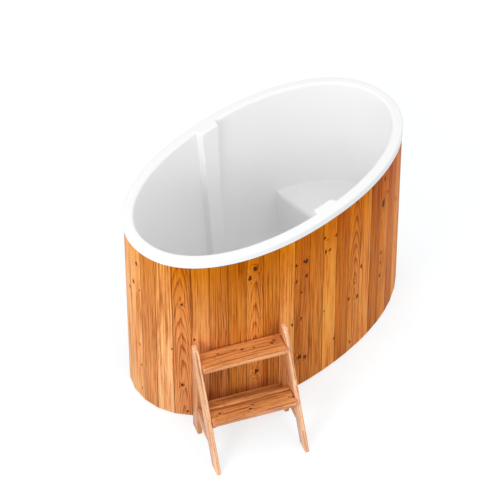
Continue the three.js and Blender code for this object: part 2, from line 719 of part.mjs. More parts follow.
// The hose tail screws into the valve's open end and holds the ball in
function hoseTail() {
  const flangeEnd = VALVE_OUTLET + FIT + TAIL_FLANGE;
  const end = flangeEnd + HOSE_TAIL_LENGTH;
  const spigot = chamber / 2 - FIT;
  const barbStep = HOSE_TAIL_LENGTH / HOSE_BARBS;
  const tail = HOSE_TAIL_DIAMETER / 2;
  const barbs = [];
  for (let index = 0; index < HOSE_BARBS; index += 1) {
    const from = flangeEnd + index * barbStep;
    barbs.push([tail - HOSE_BARB, from], [tail, from + FIT], [tail - HOSE_BARB, from + barbStep]);
  }
  const profile = [
    [BALL_SEAT / 2, seatReach], [spigot, seatReach], [spigot, VALVE_OUTLET + FIT],
    [VALVE_BARREL / 2, VALVE_OUTLET + FIT], [VALVE_BARREL / 2, flangeEnd],
    ...barbs.slice(0, -1), [tail - HOSE_BARB, end], [BALL_SEAT / 2, end], [BALL_SEAT / 2, seatReach],
  ];
  return piece('hose_tail', turnedY(profile), GREY_PLASTIC);
}

function valve() {
  const group = new THREE.Group();
  group.add(valveBody(), valveBall(), valveStem(), valveLever(), leverNut(), hoseTail());
  group.position.set(DRAIN_X, ballCentre, PIPE_AXIS);
  return group;
}

// Steps, in a frame with X across them, Y from the front feet to the tub and Z up

const lean = 1 / Math.tan(STRINGER_SLOPE * RADIANS);
const legBack = STEPS_DEPTH - LEG_SETBACK;
const legFront = legBack - LEG_DEPTH;
const stringerFront = (z) => z * lean;
const stringerBack = (z) => z * lean + STRINGER_FOOT;
const innerFrom = STEPS_BOARD + FIT;
const innerTo = STEPS_WIDTH - STEPS_BOARD - FIT;
const sides = [['left', 0], ['right', STEPS_WIDTH - STEPS_BOARD]];

function stringerOutline() {
  const turn = (180 - STRINGER_SLOPE) / 2 * RADIANS;
  const centreY = stringerFront(STEPS_TOP) + STRINGER_ROUND / Math.tan(turn);
  const round = arcPlaces(centreY, STEPS_TOP - STRINGER_ROUND, STRINGER_ROUND, 90, 90 + STRINGER_SLOPE);
  const shoulder = (legBack - STRINGER_FOOT) / lean;
  return [[0, 0], [STRINGER_FOOT, 0], [legBack, shoulder], [legBack, STEPS_TOP], ...round];
}

function legOutline() {
  const meet = (y) => (y - STRINGER_FOOT) / lean - FIT / Math.cos(STRINGER_SLOPE * RADIANS);
  return [[legFront, 0], [legBack, 0], [legBack, meet(legBack)], [legFront, meet(legFront)]];
}

function sideRailOutline() {
  const top = SIDE_RAIL_BOTTOM + SIDE_RAIL_HEIGHT;
  const start = (z) => stringerBack(z) + FIT / Math.sin(STRINGER_SLOPE * RADIANS);
  const end = legFront - FIT;
  return [[start(SIDE_RAIL_BOTTOM), SIDE_RAIL_BOTTOM], [end, SIDE_RAIL_BOTTOM], [end, top], [start(top), top]];
}

const barOutline = (from, to, bottom, top) => [[from, bottom], [to, bottom], [to, top], [from, top]];

function treadOutline(top, from, to) {
  const round = TREAD_THICKNESS / 2;
  return [[to, top - TREAD_THICKNESS], [to, top],
    ...arcPlaces(from + round, top - round, round, 90, 270, 2 * ROUND_STEPS)];
}

const noseAt = (top) => stringerFront(top - TREAD_THICKNESS / 2) - NOSE_OVERHANG;
const lowerNose = noseAt(LOWER_TREAD_TOP);
const slatFrom = lowerNose + LOWER_TREAD_BOARD + TREAD_GAP;
const slatTo = slatFrom + LOWER_TREAD_SLAT;

function treads() {
  const under = LOWER_TREAD_TOP - TREAD_THICKNESS;
  const outlines = {
    upper_tread: treadOutline(UPPER_TREAD_TOP, noseAt(UPPER_TREAD_TOP), STEPS_DEPTH),
    lower_tread: treadOutline(LOWER_TREAD_TOP, lowerNose, lowerNose + LOWER_TREAD_BOARD),
    lower_tread_slat: barOutline(slatFrom, slatTo, under, LOWER_TREAD_TOP),
    back_rail: barOutline(legBack - BACK_RAIL_SETBACK - STEPS_BOARD, legBack - BACK_RAIL_SETBACK,
      BACK_RAIL_BOTTOM, BACK_RAIL_BOTTOM + BACK_RAIL_HEIGHT),
  };
  return Object.entries(outlines).map(([name, outline]) =>
    piece(name, sideways(outline, innerFrom, innerTo), STEP_WOOD));
}

function cleats() {
  const rows = [['upper', UPPER_TREAD_TOP, legBack], ['lower', LOWER_TREAD_TOP, slatTo]];
  return rows.flatMap(([row, treadTop, to]) => {
    const top = treadTop - TREAD_THICKNESS - FIT;
    const outline = barOutline(stringerFront(top) + CLEAT_SETBACK, to, top - CLEAT_HEIGHT, top);
    return [['left', innerFrom], ['right', innerTo - CLEAT_WIDTH]].map(([side, from]) =>
      piece(`${row}_cleat_${side}`, sideways(outline, from, from + CLEAT_WIDTH), STEP_WOOD));
  });
}

function sideFrames() {
  const outlines = { stringer: stringerOutline(), rear_leg: legOutline(), side_rail: sideRailOutline() };
  return sides.flatMap(([side, from]) => Object.entries(outlines).map(([part, outline]) =>
    piece(`${part}_${side}`, sideways(outline, from, from + STEPS_BOARD), STEP_WOOD)));
}

// The steps stand square to the tub's wall, where the wall faces the bearing
function steps() {
  const towards = new THREE.Vector2(Math.cos(STEPS_BEARING * RADIANS), Math.sin(STEPS_BEARING * RADIANS));
  let touch = ovalPoint(0);
  for (let step = 0; step < ARC_STEPS; step += 1) {
    const point = ovalPoint(arcAngle(step));
    if (point.dot(towards) > touch.dot(towards)) touch = point;
  }
  const frame = new THREE.Group();
  frame.add(...sideFrames(), ...treads(), ...cleats());
  frame.position.set(-STEPS_WIDTH / 2, -STEPS_DEPTH - STEPS_CLEARANCE, 0);
  const group = new THREE.Group();
  group.add(frame);
  group.position.set(touch.x, touch.y, 0);
  group.rotation.z = STEPS_BEARING * RADIANS + Math.PI / 2;
  return group;
}

const tub = new THREE.Group();
tub.add(liner(), cladding(), upperHoop(), lowerHoop(), foamJacket(), floorFoam(), basePanel(), bearers());
tub.add(seatProps(), drain(), valve(), steps());

export default tub;
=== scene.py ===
"""Looks of an oval cold plunge tub: a white moulded liner in a skin of upright boards, with its drain
valve and a free-standing pair of wooden steps. Metres, +Z up, the tub's long axis along X."""

import json
import math
import random

import bmesh
import bpy
from mathutils import Matrix, Vector


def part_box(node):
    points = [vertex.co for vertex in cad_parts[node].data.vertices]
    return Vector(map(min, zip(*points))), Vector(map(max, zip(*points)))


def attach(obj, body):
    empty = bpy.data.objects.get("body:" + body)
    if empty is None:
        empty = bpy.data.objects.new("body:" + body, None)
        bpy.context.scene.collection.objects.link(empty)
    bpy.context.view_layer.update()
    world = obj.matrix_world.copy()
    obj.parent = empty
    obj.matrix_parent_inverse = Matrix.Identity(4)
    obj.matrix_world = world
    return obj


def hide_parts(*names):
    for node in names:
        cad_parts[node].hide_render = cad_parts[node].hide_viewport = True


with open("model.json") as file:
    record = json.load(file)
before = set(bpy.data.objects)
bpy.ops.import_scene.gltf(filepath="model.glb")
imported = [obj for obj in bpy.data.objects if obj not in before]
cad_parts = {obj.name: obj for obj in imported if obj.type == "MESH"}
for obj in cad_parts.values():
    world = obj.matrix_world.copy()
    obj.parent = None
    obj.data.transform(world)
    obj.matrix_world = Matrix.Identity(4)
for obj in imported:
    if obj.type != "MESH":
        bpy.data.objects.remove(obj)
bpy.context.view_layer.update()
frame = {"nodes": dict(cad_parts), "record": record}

# Oval and boards
TUB_LENGTH = 1.636
TUB_WIDTH = 0.922
OVAL_POWER = 2.13
BOARD_COUNT = 46
BOARD_THICKNESS = 0.020
BOARD_CHAMFER = 0.0022
BOARD_FOOT_CHAMFER = 0.001
BOARD_GAP = 0.0007
FIRST_SEAM = -0.017
BOARDS_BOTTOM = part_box("board_pair_01")[0].z
BOARDS_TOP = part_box("board_pair_01")[1].z

# Liner
CLEARANCE = 0.0003
RIM_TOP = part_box("liner")[1].z
RIM_WIDTH = 0.052
RIM_OVERHANG = 0.003
RIM_ROUND = 0.012
MOUTH_ROUND = 0.014
LIP_BOTTOM = BOARDS_TOP + CLEARANCE
LIP_HEIGHT = 0.012
LINER_WALL = 0.006
WALL_DRAFT = math.radians(4)
FLOOR_FILLET = 0.070
WELL_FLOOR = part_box("floor_foam")[1].z + CLEARANCE + LINER_WALL
SEAT_TOP = 0.420
SEAT_FRONT = 0.390
SEAT_BULGE = 4.0
SEAT_ROUND = 0.026
SEAT_HOLLOW = 0.016
SEAT_ABOVE = 0.060
SEAT_BELOW = 0.085
RIB_CENTRE = 0.001
RIB_DEPTH = 0.030
RIB_BASE = 0.138
RIB_FACE = 0.104
RIB_TAPER = 0.030
DRAIN_HOLE_RADIUS = 0.0245

# The liner's columns: distances between them, and how far the closer ones reach
RIB_SPACING, CORNER_SPACING, WALL_SPACING = 0.004, 0.008, 0.016
RIB_ZONE = 0.11
CORNER_BEHIND = 0.05
CORNER_ZONE = 0.09
LAST_SPACING = 0.004
ROUND_PLACES, WALL_PLACES, SEAT_PLACES, FILLET_PLACES, FLOOR_PLACES = 6, 16, 60, 8, 6

# The pipe's way out through the boards
PIPE_CLEARANCE = 0.005
SLOT_LENGTH = 0.3
SLOT_DROP = 0.1
SLOT_BOARDS = 0.09

# Steps
STEPS_BEARING = math.radians(244.6)
STRINGER_SLOPE = math.radians(59.25)
STEPS_TURN = STEPS_BEARING + math.pi / 2

# Floor and light. The floor's glow shows only to the camera and in reflections.
FLOOR_SIZE = 60
FLOOR_COLOUR = (0.47, 0.53, 0.56, 1.0)
FLOOR_GLOW = 2.7
FLOOR_GLOW_SHARE = 0.25
WORLD_LIGHT = 0.895
LAMP_TARGET = Vector((0, 0, 0.5))

# Camera
VIEW_AZIMUTH = math.radians(-44.7585)
VIEW_ELEVATION = math.radians(43.0879)
VIEW_ROLL = math.radians(-0.098)
VIEW_DISTANCE = 14.068
VIEW_TARGET = Vector((-0.1433, -0.0397, 0.6057))
SENSOR = 36.0
LENS = 206.9

rng = random.Random(46)


# Small tools for shaping pieces

def deselect():
    if bpy.context.mode != "OBJECT":
        bpy.ops.object.mode_set(mode="OBJECT")
    bpy.ops.object.select_all(action="DESELECT")


def choose(piece):
    deselect()
    piece.select_set(True)
    bpy.context.view_layer.objects.active = piece


def edit_mesh(piece):
    bpy.ops.object.mode_set(mode="EDIT")
    return bmesh.from_edit_mesh(piece.data)


def select_edges(piece, test):
    """Select the edges whose two ends pass a test, in edit mode."""
    bpy.ops.mesh.select_mode(type="EDGE")
    bpy.ops.mesh.select_all(action="DESELECT")
    mesh = bmesh.from_edit_mesh(piece.data)
    for edge in mesh.edges:
        if test(edge.verts[0].co, edge.verts[1].co):
            edge.select = True
    mesh.select_flush_mode()
    bmesh.update_edit_mesh(piece.data)


def apply_modifier(piece, kind, **settings):
    choose(piece)
    bpy.ops.object.modifier_add(type=kind)
    modifier = piece.modifiers[-1]
    for key, value in settings.items():
        setattr(modifier, key, value)
    bpy.ops.object.modifier_apply(modifier=modifier.name)


def smooth(piece, degrees):
    choose(piece)
    bpy.ops.object.shade_smooth_by_angle(angle=math.radians(degrees))


def cut_away(piece, tool):
    apply_modifier(piece, "BOOLEAN", operation="DIFFERENCE", solver="EXACT", object=tool)
    bpy.data.objects.remove(tool)


def loft(name, rings):
    """A skin drawn from ring to ring, from a circle that is extruded again and again."""
    deselect()
    bpy.ops.mesh.primitive_circle_add(vertices=len(rings[0]), radius=1)
    piece = bpy.context.active_object
    piece.name = name
    edit_mesh(piece)
    bpy.ops.mesh.select_mode(type="EDGE")
    bpy.ops.mesh.select_all(action="SELECT")
    mesh = bmesh.from_edit_mesh(piece.data)
    mesh.verts.ensure_lookup_table()
    for vert, place in zip(mesh.verts, rings[0]):
        vert.co = place
    for before, ring in zip(rings, rings[1:]):
        bpy.ops.mesh.extrude_region_move()
        mesh = bmesh.from_edit_mesh(piece.data)
        number = {tuple(round(c, 6) for c in Vector(place)): i for i, place in enumerate(before)}
        for vert in mesh.verts:
            if vert.select:
                vert.co = ring[number[tuple(round(c, 6) for c in vert.co)]]
        bmesh.update_edit_mesh(piece.data)
    return piece


def finish_piece(piece, body, material, slot, *nodes):
    piece.data.materials.clear()
    piece.data.materials.append(material)
    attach(piece, body)
    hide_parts(*nodes)
    return piece


# The oval

def oval_point(angle):
    across = abs(math.cos(angle) / (TUB_LENGTH / 2)) ** OVAL_POWER
    along = abs(math.sin(angle) / (TUB_WIDTH / 2)) ** OVAL_POWER
    reach = (across + along) ** (-1 / OVAL_POWER)
    return Vector((reach * math.cos(angle), reach * math.sin(angle), 0))


def oval_normal(point):
    def slope(value, half):
        return math.copysign(abs(value / half) ** (OVAL_POWER - 1) / half, value)
    return Vector((slope(point.x, TUB_LENGTH / 2), slope(point.y, TUB_WIDTH / 2), 0)).normalized()


ARC_STEPS = 3600
arc_lengths = [0.0]
for step in range(1, ARC_STEPS + 1):
    chord = oval_point(math.pi + step * math.tau / ARC_STEPS) - oval_point(
        math.pi + (step - 1) * math.tau / ARC_STEPS)
    arc_lengths.append(arc_lengths[-1] + chord.length)
PERIMETER = arc_lengths[-1]


def oval_at(length):
    """Point and outward direction at a length along the boards from the -X end towards -Y."""
    length %= PERIMETER
    low, high = 0, ARC_STEPS
    while high - low > 1:
        middle = (low + high) // 2
        if arc_lengths[middle] <= length:
            low = middle
        else:
            high = middle
    share = (length - arc_lengths[low]) / (arc_lengths[high] - arc_lengths[low])
    point = oval_point(math.pi + (low + share) * math.tau / ARC_STEPS)
    return point, oval_normal(point)


def seam_at(index):
    return oval_at(FIRST_SEAM + index * PERIMETER / BOARD_COUNT)


# Node building

def link(tree, socket, value):
    if isinstance(value, bpy.types.NodeSocket):
        tree.links.new(value, socket)
    else:
        socket.default_value = value


def node(tree, kind, inputs=None, **settings):
    made = tree.nodes.new(kind)
    for key, value in settings.items():
        setattr(made, key, value)
    for key, value in (inputs or {}).items():
        link(tree, made.inputs[key], value)
    return made


def maths(tree, operation, *values):
    return node(tree, "ShaderNodeMath", dict(enumerate(values)), operation=operation).outputs[0]


def remap(tree, value, low, high, to_low=0.0, to_high=1.0):
    """Smooth step of a value between two limits, kept between the two results."""
    made = node(tree, "ShaderNodeMapRange", interpolation_type="SMOOTHSTEP")
    for key, item in zip(range(5), (value, low, high, to_low, to_high)):
        link(tree, made.inputs[key], item)
    return made.outputs[0]


def mix_colour(tree, share, first, second, blend="MIX"):
    made = node(tree, "ShaderNodeMix", data_type="RGBA", blend_type=blend)
    link(tree, made.inputs["Factor"], share)
    for key, item in (("A", first), ("B", second)):
        socket = next(s for s in made.inputs if s.name == key and s.type == "RGBA")
        link(tree, socket, item)
    return next(s for s in made.outputs if s.type == "RGBA")


def ramp(tree, value, stops):
    """Colours along a value, each stop its place and its colour."""
    made = node(tree, "ShaderNodeValToRGB", {"Fac": value})
    elements = made.color_ramp.elements
    for element, (place, colour) in zip(elements, (stops[0], stops[-1])):
        element.position, element.color = place, colour
    for place, colour in stops[1:-1]:
        elements.new(place).color = colour
    return made.outputs[0]


def noise(tree, coordinates, scale, place=(0, 0, 0), detail=2.0):
    """Soft noise, 0 to 1, stretched by its own scale along each axis."""
    stretched = node(tree, "ShaderNodeMapping", {"Vector": coordinates, "Location": place, "Scale": scale})
    made = node(tree, "ShaderNodeTexNoise", {"Vector": stretched.outputs[0], "Scale": 1.0, "Detail": detail})
    return made.outputs["Fac"]


def object_coordinates(tree):
    return node(tree, "ShaderNodeTexCoord").outputs["Object"]


def background_rays(tree):
    """1 for the rays that show the white background: from the camera, from gloss and through glass."""
    rays = node(tree, "ShaderNodeLightPath").outputs
    return maths(tree, "MAXIMUM", rays["Is Camera Ray"],
                 maths(tree, "MAXIMUM", rays["Is Glossy Ray"], rays["Is Transmission Ray"]))


def new_material(name):
    material = bpy.data.materials.new(name)
    material.use_nodes = True
    tree = material.node_tree
    return material, tree, tree.nodes["Principled BSDF"]


def rgb(red, green, blue):
    """Colour as a screen shows it, 0 to 255, made linear."""
    def linear(value):
        value /= 255
        return value / 12.92 if value <= 0.04045 else ((value + 0.055) / 1.055) ** 2.4
    return (linear(red), linear(green), linear(blue), 1.0)


# Wood

# Shades of a board's tone, its tint towards the foot, which is painted bounce light, and towards the top,
# and the colours of knots, of seams and of the painted shade under the rim
PALE = (1.26, 1.40, 1.40)
DIM = (0.72, 0.57, 0.36)
DARK = (0.42, 0.28, 0.16)
# Ends of the height gradient: the top, darker and yellower, and the foot, lighter and bluer, which is
# painted bounce light from the floor
HIGH_TINT = (0.81, 0.63, 0.08, 1.0)
PAINTED_BOUNCE_TINT = (1.11, 1.16, 1.24, 1.0)
KNOT_RIM = rgb(42, 12, 3)
KNOT_HEART = rgb(92, 36, 12)
SEAM_AND_RIM_SHADE_DARK = rgb(92, 40, 6)
KNOT_SPREAD = 0.95
KNOT_FLATTEN = 0.62
KNOT_WOBBLE = 2.6
SEAM_FROM, SEAM_TO, SEAM_STRENGTH = 0.0030, 0.001, 0.5
# Painted shade: the boards darken in their last few millimetres under the rim's lip, where its shadow falls
PAINTED_RIM_SHADE_FROM, PAINTED_RIM_SHADE_TO, PAINTED_RIM_SHADE_STRENGTH = 0.009, 0.001, 0.7
TINT_FROM, TINT_TO = 0.1, 0.95
BOARD_WEAR, STEP_WEAR = 0.15, 0.60
BOARD_SHEEN, STEP_SHEEN = 0.02, 0.5
COAT_ROUGHNESS = 0.16

# How the log was cut: the pith's place across the board and behind its face, how fast it runs away from
# the face, the yearly growth, how far the grain wanders, and the strength of the rings and of the streaks.
FIGURES = {
    "straight": dict(pith=0.30, depth=0.05, slope=0.0, spacing=0.0085, warp=0.012, ring=0.14, streak=2.3),
    "stripes": dict(pith=0.22, depth=0.04, slope=0.0, spacing=0.0160, warp=0.014, ring=0.22, streak=2.4),
    "wavy": dict(pith=0.08, depth=0.05, slope=0.015, spacing=0.0075, warp=0.040, ring=0.42, streak=1.9),
    "rough": dict(pith=0.02, depth=0.04, slope=0.03, spacing=0.013, warp=0.045, ring=0.35, streak=2.2),
    "cathedral": dict(pith=0.0, depth=0.030, slope=0.045, spacing=0.0062, warp=0.026, ring=0.50, streak=1.6),
}


def knot_field(tree, across, along, wobble, knots):
    """Nearness to the knots: how far the grain is pushed aside, the knots' area and their hearts."""
    push, area, heart = 0.0, 0.0, 0.0
    for knot_across, knot_along, size in knots:
        side = maths(tree, "SUBTRACT", across, knot_across)
        rise = maths(tree, "MULTIPLY", maths(tree, "SUBTRACT", along, knot_along), KNOT_FLATTEN)
        reach = maths(tree, "SQRT", maths(tree, "ADD", maths(tree, "MULTIPLY", side, side),
                                          maths(tree, "MULTIPLY", rise, rise)))
        reach = maths(tree, "ADD", maths(tree, "DIVIDE", reach, size), wobble)
        push = maths(tree, "ADD", push, remap(tree, reach, 0.6, 4.0, 1.1 * size, 0.0))
        area = maths(tree, "MAXIMUM", area, remap(tree, reach, 0.8, 1.25, 1.0, 0.0))
        heart = maths(tree, "MAXIMUM", heart, remap(tree, reach, 0.1, 0.85, 1.0, 0.0))
    return push, area, heart


def wood(name, place, turn, tone, figure, seed, knots, sheen, coat=0.0, half_width=None, gradient_share=1.0):
    """Oiled softwood. Its own frame has X across the board, Y through it and Z along the grain.

    Cladding has a half width, for its seams and the painted shade under the rim, and a height gradient as
    strong as
    its gradient share: darker and yellower towards the top, lighter and bluer towards the foot as painted
    bounce light.
    """
    material, tree, shader = new_material(name)
    facts = FIGURES[figure]
    mean = rgb(*tone)
    pale, dim, dark = ([min(1.0, c * k) for c, k in zip(mean, lift)] + [1.0] for lift in (PALE, DIM, DARK))
    coordinates = object_coordinates(tree)
    local = node(tree, "ShaderNodeMapping", {"Vector": coordinates, "Location": place, "Rotation": turn},
                 vector_type="TEXTURE").outputs[0]
    parts = node(tree, "ShaderNodeSeparateXYZ", {"Vector": local}).outputs
    across, through, along = parts[0], parts[1], parts[2]
    shift = (seed * 7.31, seed * 3.17, seed * 5.53)
    slow = noise(tree, local, (9, 9, 1.7), shift, 2.0)
    slower = noise(tree, local, (5, 5, 1.1), (shift[1], shift[2], shift[0]), 1.0)
    rough = maths(tree, "SUBTRACT", noise(tree, local, (95, 95, 70), shift, 2.0), 0.5)
    wobble = maths(tree, "MULTIPLY", rough, KNOT_WOBBLE)
    push, area, heart = knot_field(tree, across, along, wobble, knots)

    swing = maths(tree, "MULTIPLY", maths(tree, "SUBTRACT", slow, 0.5), facts["warp"])
    sideways = maths(tree, "ADD", maths(tree, "SUBTRACT", across, facts["pith"]), swing)
    swell = maths(tree, "MULTIPLY", maths(tree, "SUBTRACT", slower, 0.5), 2 * facts["warp"])
    inward = maths(tree, "ADD", maths(tree, "MULTIPLY", along, facts["slope"]), facts["depth"])
    inward = maths(tree, "ADD", maths(tree, "ADD", inward, swell), through)
    radius = maths(tree, "SQRT", maths(tree, "ADD", maths(tree, "MULTIPLY", sideways, sideways),
                                       maths(tree, "MULTIPLY", inward, inward)))
    radius = maths(tree, "ADD", radius, push)
    uneven = maths(tree, "MULTIPLY", noise(tree, local, (55, 55, 0.6), shift, 1.0), 0.9)
    year = maths(tree, "FRACT", maths(tree, "ADD", maths(tree, "DIVIDE", radius, facts["spacing"]), uneven))
    ring = maths(tree, "MULTIPLY", remap(tree, year, 0.40, 0.92), remap(tree, year, 0.93, 1.0, 1.0, 0.0))

    bent = maths(tree, "ADD", maths(tree, "ADD", across, swing), push)
    grain = node(tree, "ShaderNodeCombineXYZ", {0: bent, 1: through, 2: along}).outputs[0]
    fibre = noise(tree, grain, (560, 560, 14), shift, 3.0)
    streak = noise(tree, grain, (170, 170, 3.2), shift, 4.0)
    cloud = noise(tree, local, (16, 16, 1.8), (shift[2], shift[0], shift[1]), 2.0)
    shade = maths(tree, "MULTIPLY_ADD", ring, facts["ring"], 0.40 - 0.3 * facts["ring"])
    for layer, weight in ((streak, facts["streak"]), (fibre, 1.2), (cloud, 1.0)):
        shade = maths(tree, "MULTIPLY_ADD", maths(tree, "SUBTRACT", layer, 0.5), weight, shade)
    colour = ramp(tree, shade, ((0.0, pale), (0.42, mean), (0.72, dim), (1.0, dark)))
    if knots:
        colour = mix_colour(tree, remap(tree, push, 0.0, 0.02, 0.0, 0.45), colour, dim)
        core = mix_colour(tree, heart, KNOT_RIM, KNOT_HEART)
        colour = mix_colour(tree, maths(tree, "MULTIPLY", area, 0.92), colour, core)
    worn = BOARD_WEAR if half_width else STEP_WEAR
    marks = remap(tree, noise(tree, local, (150, 150, 60), shift, 3.0), 0.60, 0.68, 0.0, worn)
    colour = mix_colour(tree, marks, colour, dark)
    if half_width:
        # Height gradient, partly painted light: lighter and bluer towards the foot as painted bounce light
        # from the floor, darker and yellower towards the top
        height = node(tree, "ShaderNodeMapRange", {0: along, 1: TINT_FROM, 2: TINT_TO}).outputs[0]
        climb = maths(tree, "MULTIPLY", maths(tree, "MULTIPLY", height, height), gradient_share)
        tint = mix_colour(tree, climb, PAINTED_BOUNCE_TINT, HIGH_TINT)
        colour = mix_colour(tree, 1.0, colour, tint, "MULTIPLY")
        edge = maths(tree, "ABSOLUTE", across)
        groove = remap(tree, edge, half_width - SEAM_FROM, half_width - SEAM_TO, 0.0, SEAM_STRENGTH)
        # Painted shade under the rim's lip, in the same dark colour as the seams
        top = remap(tree, along, BOARDS_TOP - PAINTED_RIM_SHADE_FROM, BOARDS_TOP - PAINTED_RIM_SHADE_TO,
                    0.0, PAINTED_RIM_SHADE_STRENGTH)
        colour = mix_colour(tree, maths(tree, "MAXIMUM", groove, top), colour, SEAM_AND_RIM_SHADE_DARK)
    link(tree, shader.inputs["Base Color"], colour)
    link(tree, shader.inputs["Roughness"], remap(tree, shade, 0.0, 1.0, 0.34, 0.46))
    shader.inputs["Specular IOR Level"].default_value = sheen
    shader.inputs["Coat Weight"].default_value = coat
    shader.inputs["Coat Roughness"].default_value = COAT_ROUGHNESS
    relief = maths(tree, "ADD", maths(tree, "MULTIPLY", ring, -0.5), maths(tree, "MULTIPLY", fibre, 0.6))
    bump = node(tree, "ShaderNodeBump", {"Strength": 0.22, "Distance": 0.0008, "Height": relief})
    link(tree, shader.inputs["Normal"], bump.outputs[0])
    return material


# Other finishes

def white_laminate():
    """Satin white moulding with the faint unevenness of a hand-laid skin."""
    material, tree, shader = new_material("white_laminate")
    coordinates = object_coordinates(tree)
    cloud = noise(tree, coordinates, (6, 6, 6), (3, 1, 2), 2.0)
    colour = mix_colour(tree, cloud, rgb(245, 245, 245), rgb(247, 247, 247))
    link(tree, shader.inputs["Base Color"], colour)
    shader.inputs["Roughness"].default_value = 0.32
    return material


def moulded_plastic(name, light, dark, roughness):
    """Plain moulded plastic with a fine texture."""
    material, tree, shader = new_material(name)
    coordinates = object_coordinates(tree)
    cloud = noise(tree, coordinates, (40, 40, 40), (0, 0, 0), 3.0)
    grit = noise(tree, coordinates, (1500, 1500, 1500), (0, 0, 0), 1.0)
    link(tree, shader.inputs["Base Color"], mix_colour(tree, cloud, light, dark))
    link(tree, shader.inputs["Roughness"], remap(tree, grit, 0.2, 0.8, roughness - 0.05, roughness + 0.08))
    bump = node(tree, "ShaderNodeBump", {"Strength": 0.12, "Distance": 0.0003, "Height": grit})
    link(tree, shader.inputs["Normal"], bump.outputs[0])
    return material


def brushed_steel():
    material, tree, shader = new_material("brushed_steel")
    coordinates = object_coordinates(tree)
    brush = noise(tree, coordinates, (900, 40, 900), (0, 0, 0), 3.0)
    link(tree, shader.inputs["Base Color"], mix_colour(tree, brush, rgb(176, 179, 182), rgb(206, 208, 210)))
    link(tree, shader.inputs["Roughness"], remap(tree, brush, 0.2, 0.8, 0.22, 0.38))
    shader.inputs["Metallic"].default_value = 1.0
    return material


def plywood():
    """Birch plywood with its fine glue lines."""
    material, tree, shader = new_material("plywood")
    coordinates = object_coordinates(tree)
    grain = noise(tree, coordinates, (4, 160, 160), (0, 0, 0), 3.0)
    plies = node(tree, "ShaderNodeTexWave", {"Vector": coordinates, "Scale": 90.0, "Distortion": 1.0,
                                             "Detail": 1.0}, bands_direction="Z").outputs["Fac"]
    colour = mix_colour(tree, grain, rgb(214, 180, 130), rgb(188, 148, 98))
    colour = mix_colour(tree, remap(tree, plies, 0.8, 1.0, 0.0, 0.35), colour, rgb(130, 92, 54))
    link(tree, shader.inputs["Base Color"], colour)
    shader.inputs["Roughness"].default_value = 0.7
    return material


def foam():
    """Sprayed insulation foam, full of small cells."""
    material, tree, shader = new_material("foam")
    coordinates = object_coordinates(tree)
    cells = node(tree, "ShaderNodeTexVoronoi", {"Vector": coordinates, "Scale": 220.0}).outputs["Distance"]
    cloud = noise(tree, coordinates, (20, 20, 20), (0, 0, 0), 3.0)
    colour = mix_colour(tree, cloud, rgb(236, 224, 178), rgb(216, 198, 140))
    link(tree, shader.inputs["Base Color"], colour)
    shader.inputs["Roughness"].default_value = 0.9
    bump = node(tree, "ShaderNodeBump", {"Strength": 0.5, "Distance": 0.002, "Height": cells})
    link(tree, shader.inputs["Normal"], bump.outputs[0])
    return material


# Liner

def well_offset(z):
    return RIM_OVERHANG - RIM_WIDTH - (RIM_TOP - z) * math.tan(WALL_DRAFT)


def rib_share(x, z):
    narrower = RIB_TAPER * (RIM_TOP - z) / (RIM_TOP - WELL_FLOOR)
    outer = (RIB_BASE - narrower) / 2
    inner = (RIB_FACE - narrower) / 2
    share = min(1, max(0, (outer - abs(x - RIB_CENTRE)) / (outer - inner)))
    return share * share * (3 - 2 * share)


def liner_lengths():
    """Places along the oval for the liner's columns, closer at the ribs and at the seat's corners."""
    lengths = []
    length = 0.0
    while length < PERIMETER - LAST_SPACING:
        lengths.append(length)
        point, _ = oval_at(length)
        at_rib = abs(point.x - RIB_CENTRE) < RIB_ZONE
        at_corner = abs(point.x - SEAT_FRONT - CORNER_BEHIND) < CORNER_ZONE
        length += RIB_SPACING if at_rib else CORNER_SPACING if at_corner else WALL_SPACING
    return lengths


def along_path(corners, count):
    """Places at even steps along a path of corners."""
    steps = [(b - a).length for a, b in zip(corners, corners[1:])]
    total = sum(steps)
    places = []
    for index in range(count):
        left = total * index / (count - 1)
        for a, b, size in zip(corners, corners[1:], steps):
            if left <= size + 1e-9:
                places.append(a.lerp(b, left / size if size else 0))
                break
            left -= size
    return places


def quarter(centre, radius, start, end, count=12):
    return [centre + radius * Vector((math.cos(a), math.sin(a))) for a in
            (start + (end - start) * i / count for i in range(count + 1))]


def seat_path(wall, front):
    """The wall, the seat and its front in one column, as distance from the centre and height."""
    depth = wall - front
    hollow = min(SEAT_HOLLOW, 0.45 * depth)
    nose = min(SEAT_ROUND, 0.45 * depth)
    path = [Vector((wall, SEAT_TOP + SEAT_ABOVE))]
    if depth > 1e-4:
        path += quarter(Vector((wall - hollow, SEAT_TOP + hollow)), hollow, 0, -math.pi / 2)
        path += quarter(Vector((front + nose, SEAT_TOP - nose)), nose, math.pi / 2, math.pi)
    path.append(Vector((front, SEAT_TOP - SEAT_BELOW)))
    return path


